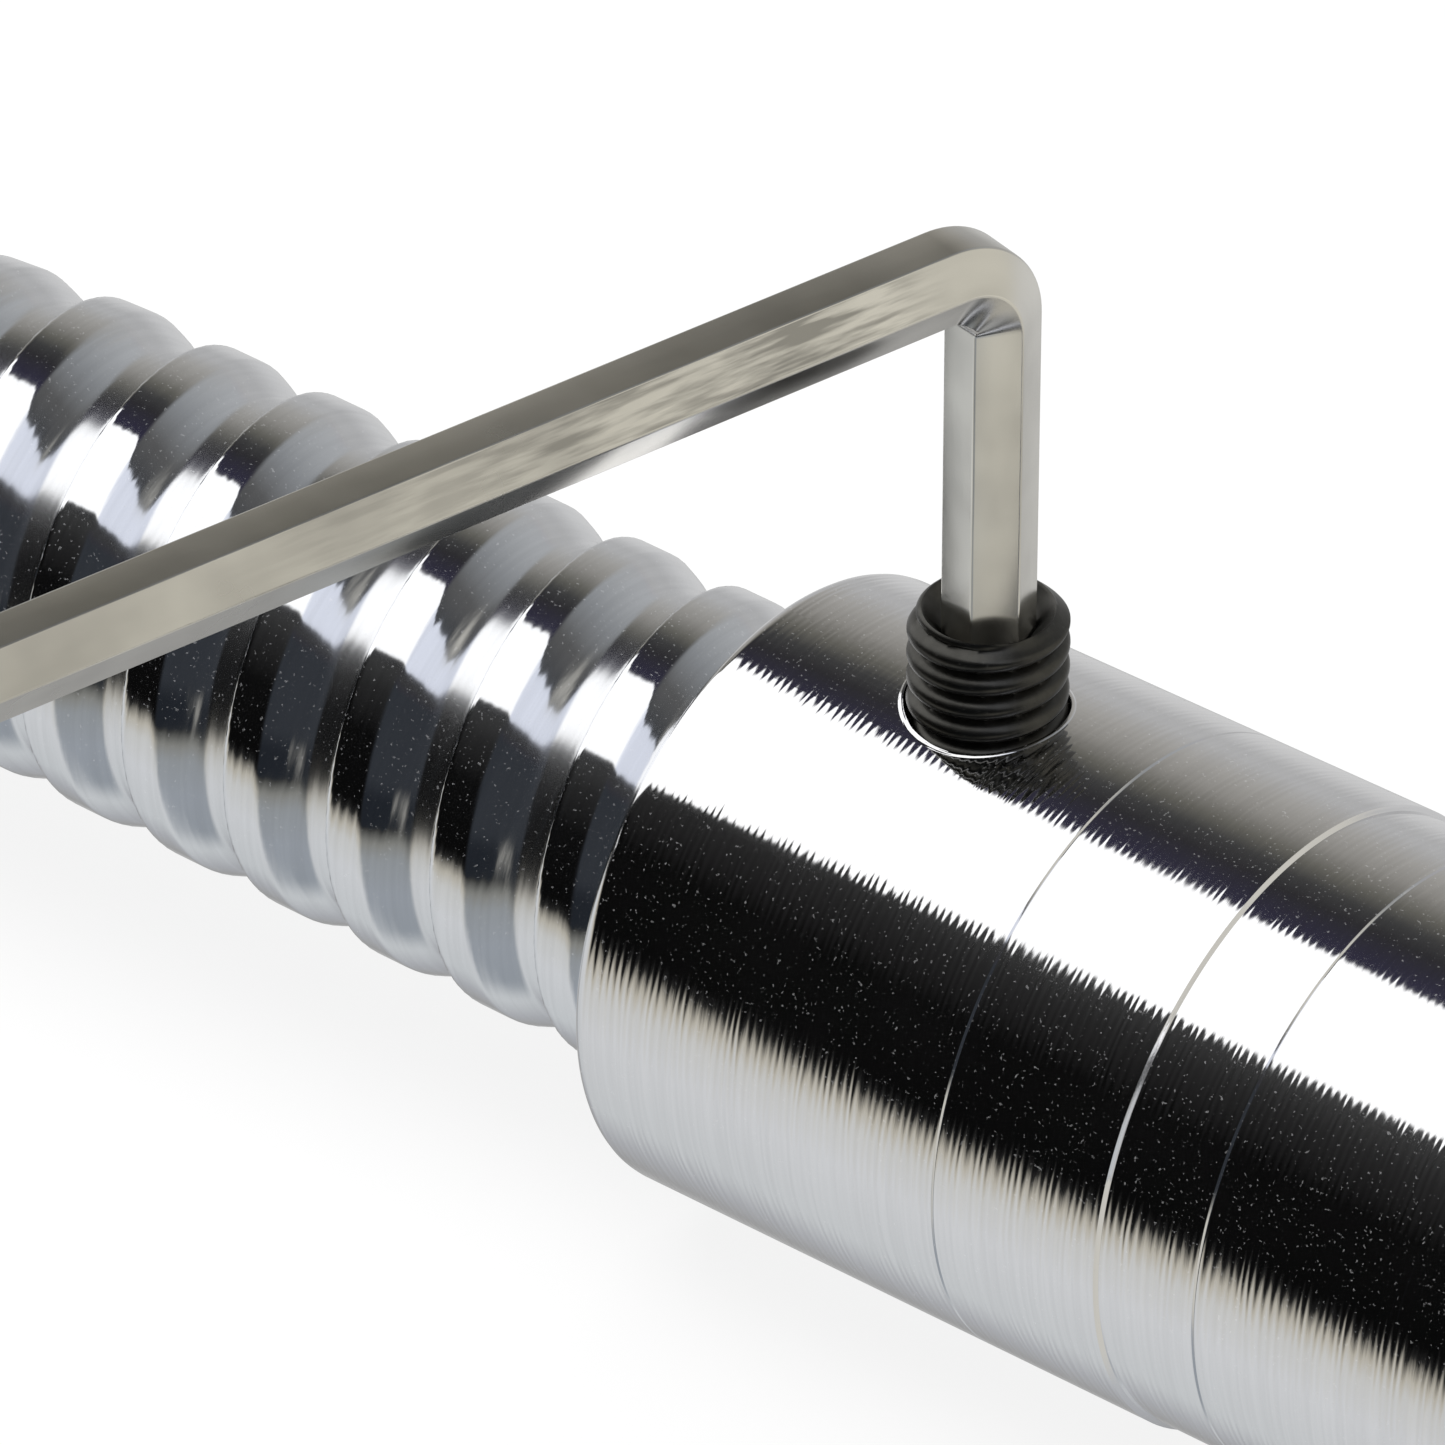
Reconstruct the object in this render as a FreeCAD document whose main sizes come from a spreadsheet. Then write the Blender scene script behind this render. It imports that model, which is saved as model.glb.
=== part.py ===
"""A cable shutter release: a turned barrel with a finger plate and a sprung plunger, a metal-armoured
sheath held in the barrel by a socket set screw, the hex key seated in that screw, and a swivelling
threaded tip with its release pin.

Millimetres. +X runs along the barrel towards the thumb button, +Z is up. The origin is the middle of
the finger plate's lower edge, on the surface that the release lies on.
"""

import FreeCAD
import Part
import Sketcher
import math
import os
import re

os.makedirs("parts", exist_ok=True)
doc = FreeCAD.newDocument("cable_release")
Vector = FreeCAD.Vector
Rotation = FreeCAD.Rotation
Placement = FreeCAD.Placement

# Driving dimensions
SIZES = {
    # barrel
    "barrel_dia": 12.0,
    "barrel_length": 32.0,
    "rim_round": 0.35,
    "relief_setback": 11.9,
    "relief_depth": 0.09,
    "socket_dia": 9.2,
    "socket_depth": 12.5,
    "divider": 2.0,
    "chamber_dia": 7.4,
    # set screw, its pad and the key
    "screw_setback": 4.8,
    "screw_dia": 2.92,
    "screw_length": 3.0,
    "screw_proud": 1.6,
    "screw_chamfer": 0.25,
    "socket_floor": 1.0,
    "key_across": 1.5,
    "key_slack": 0.03,
    "key_seat_gap": 0.1,
    "key_arm_height": 7.8,
    "key_bend": 1.2,
    "key_reach": 45.0,
    "key_angle": -104.3,
    "pad_dia": 2.4,
    "pad_thickness": 0.8,
    "pad_slack": 0.2,
    # finger plate and rear guide
    "plate_width": 24.0,
    "plate_thickness": 2.5,
    "washer_dia": 9.6,
    "washer_thickness": 0.4,
    "flange_dia": 10.4,
    "flange_thickness": 1.8,
    "bush_depth": 4.0,
    # plunger
    "stroke": 8.0,
    "rod_dia": 4.5,
    "rod_nose": 2.0,
    "rod_seat": 2.2,
    "seat_dia": 7.0,
    "seat_thickness": 1.2,
    "button_gap": 0.5,
    "button_dia": 11.0,
    "button_hub_dia": 6.6,
    "button_hub": 1.6,
    "button_thickness": 3.0,
    "button_round": 0.8,
    "button_dish": 0.6,
    # return spring
    "spring_dia": 6.6,
    "spring_wire": 0.6,
    # armoured sheath, liner and wire
    "hose_dia": 9.0,
    "hose_bore": 6.0,
    "rib_pitch": 2.5,
    "rib_height": 0.4,
    "hose_start": 0.5,
    "neck_dia": 8.3,
    "neck_depth": 0.9,
    "spigot_length": 7.0,
    "liner_dia": 4.0,
    "liner_depth": 2.4,
    "wire_dia": 1.5,
    "core_dia": 1.2,
    "wire_lead": 1.0,
    "wire_grip": 4.0,
    "sheath_end": 8.0,
    "sheath_lead": 0.3,
    # tip
    "ferrule_dia": 10.4,
    "ferrule_cover": 9.5,
    "ferrule_wall": 3.0,
    "ferrule_taper": 2.2,
    "ferrule_shoulder_dia": 7.0,
    "nose_dia": 4.5,
    "nose_length": 3.6,
    "lip_length": 1.4,
    "lip_depth": 0.35,
    "collar_dia": 7.6,
    "collar_length": 4.6,
    "relief_dia": 3.2,
    "relief_length": 0.6,
    "thread_root_dia": 3.7,
    "thread_end_dia": 3.1,
    "thread_length": 5.4,
    "tip_bore": 2.2,
    "guide_dia": 3.2,
    "pin_inset": 0.4,
    "pin_tail": 9.3,
    # clearances
    "run_gap": 0.05,
    "fit_gap": 0.03,
    "touch_gap": 0.02,
    "lip_gap": 0.1,
    "free_gap": 0.3,
}

# Places along the barrel and the tip, worked out from the sizes
PLACES = {
    "axis_height": "barrel_dia / 2",
    "barrel_rad": "barrel_dia / 2",
    "plate_front": "-plate_thickness / 2",
    "plate_back": "plate_thickness / 2",
    "rim": "plate_front - barrel_length",
    "screw_place": "rim + screw_setback",
    "socket_end": "rim + socket_depth",
    "socket_rad": "socket_dia / 2",
    "chamber_start": "socket_end + divider",
    "chamber_rad": "chamber_dia / 2",
    "wire_rad": "wire_dia / 2",
    "passage_rad": "wire_rad + run_gap",
    "bush_front": "plate_front - bush_depth",
    "bush_rad": "chamber_rad - fit_gap",
    "flange_front": "plate_back + washer_thickness",
    "flange_back": "flange_front + flange_thickness",
    "rod_rad": "rod_dia / 2",
    "seat_back": "bush_front - touch_gap",
    "seat_front": "seat_back - seat_thickness",
    "rod_front": "seat_front - rod_nose",
    "button_front": "flange_back + stroke + button_gap",
    "button_disc": "button_front + button_hub",
    "button_back": "button_disc + button_thickness",
    "hose_end": "rim - hose_start",
    "collar_rad": "socket_rad - fit_gap",
    "spigot_rad": "hose_bore / 2 - fit_gap",
    "liner_start": "rim + liner_depth",
    "wire_front": "rim + wire_lead",
    "wire_back": "rod_front + wire_grip",
    "hole_rad": "screw_dia / 2 + run_gap",
    "screw_top": "barrel_rad + screw_proud",
    "screw_foot": "screw_top - screw_length",
    "pad_top": "screw_foot - touch_gap",
    "pad_foot": "pad_top - pad_thickness",
    "pad_seat": "pad_foot - screw_proud - touch_gap",
    "key_foot": "screw_foot + socket_floor + key_seat_gap",
    "key_axis": "screw_top + key_arm_height",
    "nose_front": "ferrule_wall + ferrule_taper",
    "nose_end": "nose_front + nose_length",
    "lip_end": "nose_front + lip_length",
    "nose_rad": "nose_dia / 2",
    "neck_rad": "nose_rad - lip_depth",
    "tip_front": "nose_front + lip_gap",
    "collar_end": "tip_front + collar_length",
    "thread_front": "collar_end + relief_length",
    "tip_end": "thread_front + thread_length",
    "pin_end": "tip_end - pin_inset",
}

# The sheath's route on its way from the barrel, from the face that its ribs start at: the run along
# the barrel's axis first, then small turns the same way on the ground. Heights are above the ground.
ROUTE = [
    (0.0, 0.0, 6.0),
    (-16.5, 0.0, 6.0),
    (-33.3, -2.7, 5.0),
    (-50.1, -9.2, 4.65),
    (-65.1, -18.1, 6.0),
]
ARC_SHARE = 0.45  # how much of the shorter run each arc of the route takes
RIB_CIRCLES = ((0.0, 1.0), (0.35, 0.0))  # share of the pitch, share of the height that is missing

# Sheet of sizes, and a set of places bound to it
sheet = doc.addObject("Spreadsheet::Sheet", "Sheet")
for row, (name, size) in enumerate(SIZES.items(), 1):
    sheet.set(f"A{row}", name)
    sheet.set(f"B{row}", str(size))
    sheet.setAlias(f"B{row}", name)
doc.recompute()

places = doc.addObject("App::VarSet", "Places")


def bound(text):
    """The expression with each name led by the object that holds it."""
    def lead(found):
        name = found.group()
        if name in SIZES:
            return "Sheet." + name
        return "Places." + name if name in PLACES else name
    return re.sub(r"[a-z_]+", lead, text)


for name, text in PLACES.items():
    places.addProperty("App::PropertyFloat", name, "Places")
    places.setExpression(name, bound(text))
    doc.recompute()
places.addProperty("App::PropertyFloat", "reading", "Places")


def number(text):
    """What an expression comes to, in millimetres or degrees."""
    places.setExpression("reading", bound(text))
    doc.recompute([places])
    return places.reading


def plane(body, role):
    return next(o for o in body.Origin.OriginFeatures if o.Role == role)


def new_body(label, placement=None):
    body = doc.addObject("PartDesign::Body", label)
    body.Label = label
    if placement is None:
        body.setExpression(".Placement.Base.z", bound("axis_height"))
    else:
        body.Placement = placement
    return body


def new_sketch(body, name, role="XZ_Plane", offset=None):
    sketch = body.newObject("Sketcher::SketchObject", name)
    sketch.AttachmentSupport = [(plane(body, role), "")]
    sketch.MapMode = "FlatFace"
    if offset is not None:
        sketch.setExpression(".AttachmentOffset.Base.z", bound(offset))
    return sketch


def tie(sketch, kind, *place, size):
    """A dimension of the sketch, bound to an expression."""
    k = sketch.addConstraint(Sketcher.Constraint(kind, *place, number(size)))
    sketch.setExpression(f"Constraints[{k}]", bound(size))


def outline(sketch, points):
    """A closed outline. Each point is (across, up) as expressions, and a third entry makes the side
    that starts there an arc of that radius, which bows to the left of its way unless it has a minus."""
    at = [Vector(number(p[0]), number(p[1]), 0) for p in points]
    sides = []
    for k, point in enumerate(points):
        start, end = at[k], at[(k + 1) % len(at)]
        if len(point) == 2:
            sides.append(sketch.addGeometry(Part.LineSegment(start, end)))
            continue
        left = not point[2].startswith("-")
        radius = number(point[2].lstrip("-"))
        chord = end - start
        across = Vector(-chord.y, chord.x, 0).normalize() * (1 if left else -1)
        rise = radius - math.sqrt(radius ** 2 - (chord.Length / 2) ** 2)
        top = start + chord * 0.5 + across * rise
        sides.append(sketch.addGeometry(Part.Arc(start, top, end)))
    first, last = [], []
    for k, side in enumerate(sides):
        curve = sketch.Geometry[side]
        forward = (curve.StartPoint - at[k]).Length < (curve.EndPoint - at[k]).Length
        first.append(1 if forward else 2)
        last.append(2 if forward else 1)
    for k, side in enumerate(sides):
        after = (k + 1) % len(sides)
        sketch.addConstraint(Sketcher.Constraint("Coincident", side, last[k], sides[after], first[after]))
        tie(sketch, "DistanceX", -1, 1, side, first[k], size=points[k][0])
        tie(sketch, "DistanceY", -1, 1, side, first[k], size=points[k][1])
        if len(points[k]) == 3:
            tie(sketch, "Radius", side, size=points[k][2].lstrip("-"))


def circle(sketch, across, up, radius):
    centre = Vector(number(across), number(up), 0)
    k = sketch.addGeometry(Part.Circle(centre, Vector(0, 0, 1), number(radius)))
    tie(sketch, "DistanceX", -1, 1, k, 3, size=across)
    tie(sketch, "DistanceY", -1, 1, k, 3, size=up)
    tie(sketch, "Radius", k, size=radius)


def hexagon(sketch, across_flats, flats_up):
    """A hexagon about the sketch's origin, its upper and lower sides level, or its left and right upright."""
    corner = f"({across_flats}) / sqrt(3)"
    half, side = f"({across_flats}) / 2", f"({across_flats}) / sqrt(12)"
    level = [
        (corner, "0"), (side, half), (f"-{side}", half),
        (f"-{corner}", "0"), (f"-{side}", f"-{half}"), (side, f"-{half}"),
    ]
    outline(sketch, level if flats_up else [(up, across) for across, up in level])


def revolve(body, sketch, kind="PartDesign::Revolution"):
    feature = body.newObject(kind, f"{body.Name}_{kind[12:].lower()}")
    feature.Profile = sketch
    feature.ReferenceAxis = (sketch, ["H_Axis"])
    feature.Angle = 360
    doc.recompute()
    return feature


def turned(label, points, placement=None):
    """A body turned about its own X axis from an outline of (along, radius)."""
    body = new_body(label, placement)
    sketch = new_sketch(body, f"{label}_profile")
    outline(sketch, points)
    revolve(body, sketch)
    return body


def pad(body, sketch, length, middle=False, kind="PartDesign::Pad"):
    feature = body.newObject(kind, f"{body.Name}_{kind[12:].lower()}")
    feature.Profile = sketch
    feature.Midplane = middle
    feature.setExpression("Length", bound(length))
    doc.recompute()
    return feature


def cut(body, sketch, depth, backwards=False):
    """A pocket, which has to take something away."""
    before = body.Shape.Volume
    feature = pad(body, sketch, depth, kind="PartDesign::Pocket")
    feature.Reversed = backwards
    doc.recompute()
    if body.Shape.Volume > before - 1e-6:
        raise RuntimeError(f"{sketch.Name} cuts nothing")
    return feature


def chamfer(body, size, test):
    """Chamfers the edges that the test picks."""
    names = [f"Edge{k}" for k, edge in enumerate(body.Tip.Shape.Edges, 1)
             if not edge.Degenerated and test(edge)]
    base = body.Tip
    feature = body.newObject("PartDesign::Chamfer", f"{body.Name}_chamfer_{len(body.Group)}")
    feature.Base = (base, names)
    feature.setExpression("Size", bound(size))
    doc.recompute()


def ring_at(along, radius):
    """A test for the round edge of a turned body at a place and radius."""
    x, r = number(along), number(radius)

    def test(edge):
        curve = edge.Curve
        return isinstance(curve, Part.Circle) and abs(curve.Center.x - x) < 1e-4 and abs(curve.Radius - r) < 1e-4
    return test


# Barrel
def make_barrel():
    body = turned("barrel", [
        ("rim", "socket_rad"),
        ("rim", "barrel_rad"),
        ("rim + relief_setback", "barrel_rad"),
        ("rim + relief_setback", "barrel_rad - relief_depth"),
        ("plate_front", "barrel_rad - relief_depth"),
        ("plate_front", "chamber_rad"),
        ("chamber_start", "chamber_rad"),
        ("chamber_start", "passage_rad + free_gap"),
        ("socket_end", "passage_rad + free_gap"),
        ("socket_end", "socket_rad"),
    ])
    hole = new_sketch(body, "barrel_screw_hole", "XY_Plane")
    circle(hole, "screw_place", "0", "hole_rad")
    cut(body, hole, "barrel_dia", backwards=True)
    chamfer(body, "rim_round", ring_at("rim", "barrel_rad"))


# Finger plate, its washer and the rear guide bush
def make_plate():
    body = new_body("finger_plate")
    sketch = new_sketch(body, "finger_plate_outline", "YZ_Plane")
    span = "(plate_width / 2 - barrel_rad)"
    outline(sketch, [
        (f"-{span}", "-barrel_rad"),
        (span, "-barrel_rad", "-barrel_rad"),
        ("plate_width / 2", "0", "-barrel_rad"),
        (span, "barrel_rad"),
        (f"-{span}", "barrel_rad", "-barrel_rad"),
        ("-plate_width / 2", "0", "-barrel_rad"),
    ])
    circle(sketch, "0", "0", "chamber_rad")
    pad(body, sketch, "plate_thickness", middle=True)


def make_guide():
    turned("plate_washer", [
        ("plate_back", "chamber_rad"),
        ("plate_back", "washer_dia / 2"),
        ("flange_front", "washer_dia / 2"),
        ("flange_front", "chamber_rad"),
    ])
    turned("guide_bush", [
        ("bush_front", "rod_rad + run_gap"),
        ("bush_front", "bush_rad"),
        ("flange_front", "bush_rad"),
        ("flange_front", "flange_dia / 2"),
        ("flange_back", "flange_dia / 2"),
        ("flange_back", "rod_rad + run_gap"),
    ])


# Plunger: rod, spring seat, wire and thumb button
def make_plunger():
    turned("plunger_rod", [
        ("rod_front", "wire_rad + fit_gap"),
        ("rod_front", "rod_rad"),
        ("button_front + rod_seat", "rod_rad"),
        ("button_front + rod_seat", "0"),
        ("wire_back", "0"),
        ("wire_back", "wire_rad + fit_gap"),
    ])
    turned("spring_seat", [
        ("seat_front", "rod_rad + touch_gap"),
        ("seat_front", "seat_dia / 2"),
        ("seat_back", "seat_dia / 2"),
        ("seat_back", "rod_rad + touch_gap"),
    ])
    turned("plunger_wire", [
        ("wire_front", "0"),
        ("wire_front", "wire_rad"),
        ("wire_back", "wire_rad"),
        ("wire_back", "0"),
    ])
    turned("thumb_button", [
        ("button_front", "rod_rad + touch_gap"),
        ("button_front", "button_hub_dia / 2"),
        ("button_disc", "button_hub_dia / 2"),
        ("button_disc", "button_dia / 2"),
        ("button_back - button_round", "button_dia / 2"),
        ("button_back", "button_dia / 2 - button_round"),
        ("button_back - button_dish", "0"),
        ("button_front + rod_seat + touch_gap", "0"),
        ("button_front + rod_seat + touch_gap", "rod_rad + touch_gap"),
    ])


# Return spring, shut up in the barrel's chamber: the sleeve that its coils fill
def make_spring():
    turned("return_spring", [
        ("chamber_start + touch_gap", "spring_dia / 2 - spring_wire"),
        ("chamber_start + touch_gap", "spring_dia / 2"),
        ("seat_front - touch_gap", "spring_dia / 2"),
        ("seat_front - touch_gap", "spring_dia / 2 - spring_wire"),
    ])


# Set screw, its brass pad and the hex key, all on the screw's upright axis
def screw_placement():
    """Turns a body's X axis upright and its sides to the key's, over the screw hole."""
    upright = Rotation(Vector(0, 1, 0), -90)
    turn = Rotation(Vector(0, 0, 1), number("key_angle"))
    return Placement(Vector(number("screw_place"), 0, number("axis_height")), turn.multiply(upright))


def make_screw():
    place = screw_placement()
    screw = turned("set_screw", [
        ("screw_foot", "0"),
        ("screw_foot", "screw_dia / 2 - screw_chamfer"),
        ("screw_foot + screw_chamfer", "screw_dia / 2"),
        ("screw_top - screw_chamfer", "screw_dia / 2"),
        ("screw_top", "screw_dia / 2 - screw_chamfer"),
        ("screw_top", "0"),
    ], place)
    socket = new_sketch(screw, "set_screw_socket", "YZ_Plane", offset="screw_foot + socket_floor")
    hexagon(socket, "key_across + 2 * key_slack", flats_up=True)
    cut(screw, socket, "screw_length", backwards=True)
    turned("clamp_pad", [
        ("pad_foot", "0"),
        ("pad_foot", "pad_dia / 2"),
        ("pad_top", "pad_dia / 2"),
        ("pad_top", "0"),
    ], place)


def make_key():
    turn = Rotation(Vector(0, 0, 1), number("key_angle"))
    body = new_body("hex_key", Placement(Vector(number("screw_place"), 0, number("axis_height")), turn))
    short = new_sketch(body, "hex_key_short", "XY_Plane", offset="key_foot")
    hexagon(short, "key_across", flats_up=False)
    pad(body, short, "key_axis - key_bend - key_foot")
    bend = new_sketch(body, "hex_key_bend", "XY_Plane", offset="key_axis - key_bend")
    hexagon(bend, "key_across", flats_up=False)
    centre = number("key_bend")
    line = bend.addGeometry(Part.LineSegment(Vector(centre, -centre, 0), Vector(centre, centre, 0)), True)
    bend.addConstraint(Sketcher.Constraint("Vertical", line))
    tie(bend, "DistanceX", -1, 1, line, 1, size="key_bend")
    tie(bend, "DistanceY", -1, 1, line, 1, size="-key_bend")
    tie(bend, "DistanceY", -1, 1, line, 2, size="key_bend")
    elbow = body.newObject("PartDesign::Revolution", "hex_key_elbow")
    elbow.Profile = bend
    elbow.ReferenceAxis = (bend, ["Axis0"])
    elbow.Angle = 90
    doc.recompute()
    arm = new_sketch(body, "hex_key_arm", "YZ_Plane", offset="key_bend")
    arm.setExpression(".AttachmentOffset.Base.y", bound("key_axis"))
    hexagon(arm, "key_across", flats_up=True)
    pad(body, arm, "key_reach - key_across / 2 - key_bend")


# Sheath collar, seated in the barrel, with the drilled seat that the pad bears in
def make_collar():
    body = turned("hose_collar", [
        ("hose_end - spigot_length", "liner_dia / 2 + fit_gap"),
        ("hose_end - spigot_length", "spigot_rad"),
        ("hose_end", "spigot_rad"),
        ("hose_end", "neck_dia / 2"),
        ("rim + neck_depth", "neck_dia / 2"),
        ("rim + neck_depth", "collar_rad"),
        ("socket_end - touch_gap", "collar_rad"),
        ("socket_end - touch_gap", "passage_rad"),
        ("liner_start", "passage_rad"),
        ("liner_start", "liner_dia / 2 + fit_gap"),
    ])
    seat = new_sketch(body, "hose_collar_seat", "XY_Plane", offset="pad_seat")
    circle(seat, "screw_place", "0", "hole_rad + pad_slack")
    cut(body, seat, "barrel_dia", backwards=True)


# The sheath's route: straight runs joined by tangent arcs
def route_points():
    start = number("hose_end")
    return [Vector(start + x, y, z) for x, y, z in ROUTE]


def route_wire(points):
    """Runs and arcs, and prints the arcs' radii."""
    edges, last, radii = [], points[0], []
    for before, corner, after in zip(points, points[1:], points[2:]):
        inward, outward = corner - before, after - corner
        tangent = ARC_SHARE * min(inward.Length, outward.Length)
        half = inward.getAngle(outward) / 2
        radius = tangent / math.tan(half)
        radii.append(round(radius, 1))
        inward.normalize()
        outward.normalize()
        start, end = corner - inward * tangent, corner + outward * tangent
        to_centre = (outward - inward).normalize()
        middle = corner + to_centre * (radius / math.cos(half) - radius)
        edges.append(Part.LineSegment(last, start).toShape())
        edges.append(Part.Arc(start, middle, end).toShape())
        last = end
    edges.append(Part.LineSegment(last, points[-1]).toShape())
    print("route radii", radii)
    return Part.Wire(edges)


def frames_along(path, distances):
    """A point, a way along and a steady cross axis at each distance along the path, also past its ends."""
    edges, ends, total = path.OrderedEdges, [], 0.0
    for edge in edges:
        ends.append((total, edge))
        total += edge.Length
    across, frames = Vector(0, 0, 1), []
    for distance in distances:
        inside = min(max(distance, 0.0), total)
        start, edge = next(pair for pair in reversed(ends) if pair[0] <= inside)
        here = edge.getParameterByLength(min(inside - start, edge.Length))
        way = edge.tangentAt(here)
        across = (across - way * across.dot(way)).normalize()
        frames.append((edge.valueAt(here) + way * (distance - inside), way, across))
    return frames


def ring_wire(frame, radius):
    point, way, across = frame
    turn = Rotation(across, way.cross(across), way, "ZXY")
    ring = Part.makeCircle(radius)
    ring.Placement = Placement(point, turn)
    return Part.Wire(ring)


def loft_along(path, stops):
    """A ruled skin over rings at stops of (distance, radius)."""
    frames = frames_along(path, [distance for distance, _ in stops])
    return Part.makeLoft([ring_wire(frame, r) for frame, (_, r) in zip(frames, stops)], True, True)


def bar_along(path, start, end, radius):
    """A round bar with one ring for each turn of the path, and straight where its end runs are."""
    marks, done = [], 0.0
    runs = path.OrderedEdges
    for k, edge in enumerate(runs):
        if k == 0:
            marks.append(edge.Length)
        elif k == len(runs) - 1:
            marks.append(done)
        elif k % 2 == 0:
            marks.append(done + edge.Length / 2)
        done += edge.Length
    inner = [mark for mark in marks if start < mark < end]
    return loft_along(path, [(distance, radius) for distance in [start] + inner + [end]])


def add_shape(label, shape):
    feature = doc.addObject("Part::Feature", label)
    feature.Label = label
    feature.Shape = shape
    return feature


def make_hose(path):
    """Ribs round a bore, from the collar to the plain end inside the ferrule."""
    length, pitch = path.Length, number("rib_pitch")
    radius, height = number("hose_dia / 2"), number("rib_height")
    count = int((length - number("sheath_end")) // pitch)
    stops = []
    for rib in range(count):
        stops += [((rib + share) * pitch, radius - height * low) for share, low in RIB_CIRCLES]
    crest, lead = RIB_CIRCLES[-1][0], number("sheath_lead")
    stops += [(count * pitch, radius - height), ((count + crest) * pitch, radius)]
    stops += [(length - lead, radius), (length, radius - lead)]
    bore = number("hose_bore / 2")
    hose = loft_along(path, stops).cut(bar_along(path, 0.0, length, bore))
    add_shape("armoured_hose", hose)
    section = math.pi * (radius ** 2 - bore ** 2)
    print("sheath length", round(length, 2), "ribs", count, "volume share", round(hose.Volume / (section * length), 3))


def make_core(path):
    """The liner, from the collar to the ferrule, and the wire in it between the two sliding ends."""
    length, gap = path.Length, number("touch_gap")
    start = number("hose_end - liner_start") + gap
    end = length + number("ferrule_wall / 2") - gap
    outer = bar_along(path, start, end, number("liner_dia / 2"))
    inner = bar_along(path, start, end, number("passage_rad"))
    add_shape("inner_liner", outer.cut(inner))
    wire_from = number("hose_end - wire_front + stroke + free_gap")
    wire_to = length - number("pin_tail + free_gap")
    add_shape("core_wire", bar_along(path, wire_from, wire_to, number("core_dia / 2")))


# Tip: ferrule, pin guide, swivelling threaded tip and release pin
def tip_placement(path):
    """Puts a body's X axis on the route's last run, from the route's end outwards."""
    last = path.OrderedEdges[-1]
    way = last.tangentAt(last.LastParameter)
    return Placement(last.valueAt(last.LastParameter), Rotation(Vector(1, 0, 0), way))


def make_tip(place):
    turned("tip_ferrule", [
        ("-ferrule_cover", "hose_dia / 2 + fit_gap"),
        ("-ferrule_cover", "ferrule_dia / 2"),
        ("ferrule_wall", "ferrule_dia / 2"),
        ("nose_front", "ferrule_shoulder_dia / 2"),
        ("nose_front", "neck_rad"),
        ("lip_end", "neck_rad"),
        ("lip_end", "nose_rad"),
        ("nose_end", "nose_rad"),
        ("nose_end", "guide_dia / 2 + touch_gap"),
        ("ferrule_wall / 2", "guide_dia / 2 + touch_gap"),
        ("ferrule_wall / 2", "liner_dia / 2 + fit_gap"),
        ("touch_gap", "liner_dia / 2 + fit_gap"),
        ("touch_gap", "hose_dia / 2 + fit_gap"),
    ], place)
    turned("pin_guide", [
        ("ferrule_wall / 2 + touch_gap", "passage_rad"),
        ("ferrule_wall / 2 + touch_gap", "guide_dia / 2"),
        ("nose_end", "guide_dia / 2"),
        ("nose_end", "passage_rad"),
    ], place)
    turned("threaded_tip", [
        ("tip_front", "neck_rad + run_gap"),
        ("tip_front", "collar_dia / 2"),
        ("collar_end", "collar_dia / 2"),
        ("collar_end", "relief_dia / 2"),
        ("thread_front", "relief_dia / 2"),
        ("thread_front", "thread_root_dia / 2"),
        ("tip_end", "thread_end_dia / 2"),
        ("tip_end", "tip_bore / 2"),
        ("nose_end + lip_gap", "tip_bore / 2"),
        ("nose_end + lip_gap", "nose_rad + run_gap"),
        ("lip_end - lip_gap", "nose_rad + run_gap"),
        ("lip_end - lip_gap", "neck_rad + run_gap"),
    ], place)
    turned("release_pin", [
        ("-pin_tail", "0"),
        ("-pin_tail", "wire_rad"),
        ("pin_end", "wire_rad"),
        ("pin_end", "0"),
    ], place)


make_barrel()
make_plate()
make_guide()
make_plunger()
make_spring()
make_screw()
make_key()
make_collar()
path = route_wire(route_points())
make_hose(path)
make_core(path)
make_tip(tip_placement(path))
doc.recompute()

# Every object has to have worked, and every sub-part has to be a sound solid
NODES = [
    "barrel", "finger_plate", "plate_washer", "guide_bush", "plunger_rod", "spring_seat", "plunger_wire",
    "thumb_button", "return_spring", "set_screw", "clamp_pad", "hex_key", "hose_collar",
    "armoured_hose", "inner_liner", "core_wire", "tip_ferrule", "pin_guide", "threaded_tip", "release_pin",
]
for thing in doc.Objects:
    if "Invalid" in thing.State or "Error" in thing.State:
        raise RuntimeError(f"{thing.Name} failed: {thing.State}")
for node in NODES:
    part = doc.getObject(node)
    shape = part.Shape
    if shape.isNull() or not shape.isValid() or len(shape.Solids) != 1:
        raise RuntimeError(f"{node} is not one sound solid")
    shape.exportStep(f"parts/{node}.step")
    print(node, round(shape.Volume, 2), [round(v, 2) for v in (
        shape.BoundBox.XMin, shape.BoundBox.XMax, shape.BoundBox.YMin,
        shape.BoundBox.YMax, shape.BoundBox.ZMin, shape.BoundBox.ZMax)])
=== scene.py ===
import math

import bmesh
import bpy
from mathutils import Matrix, Vector


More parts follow.
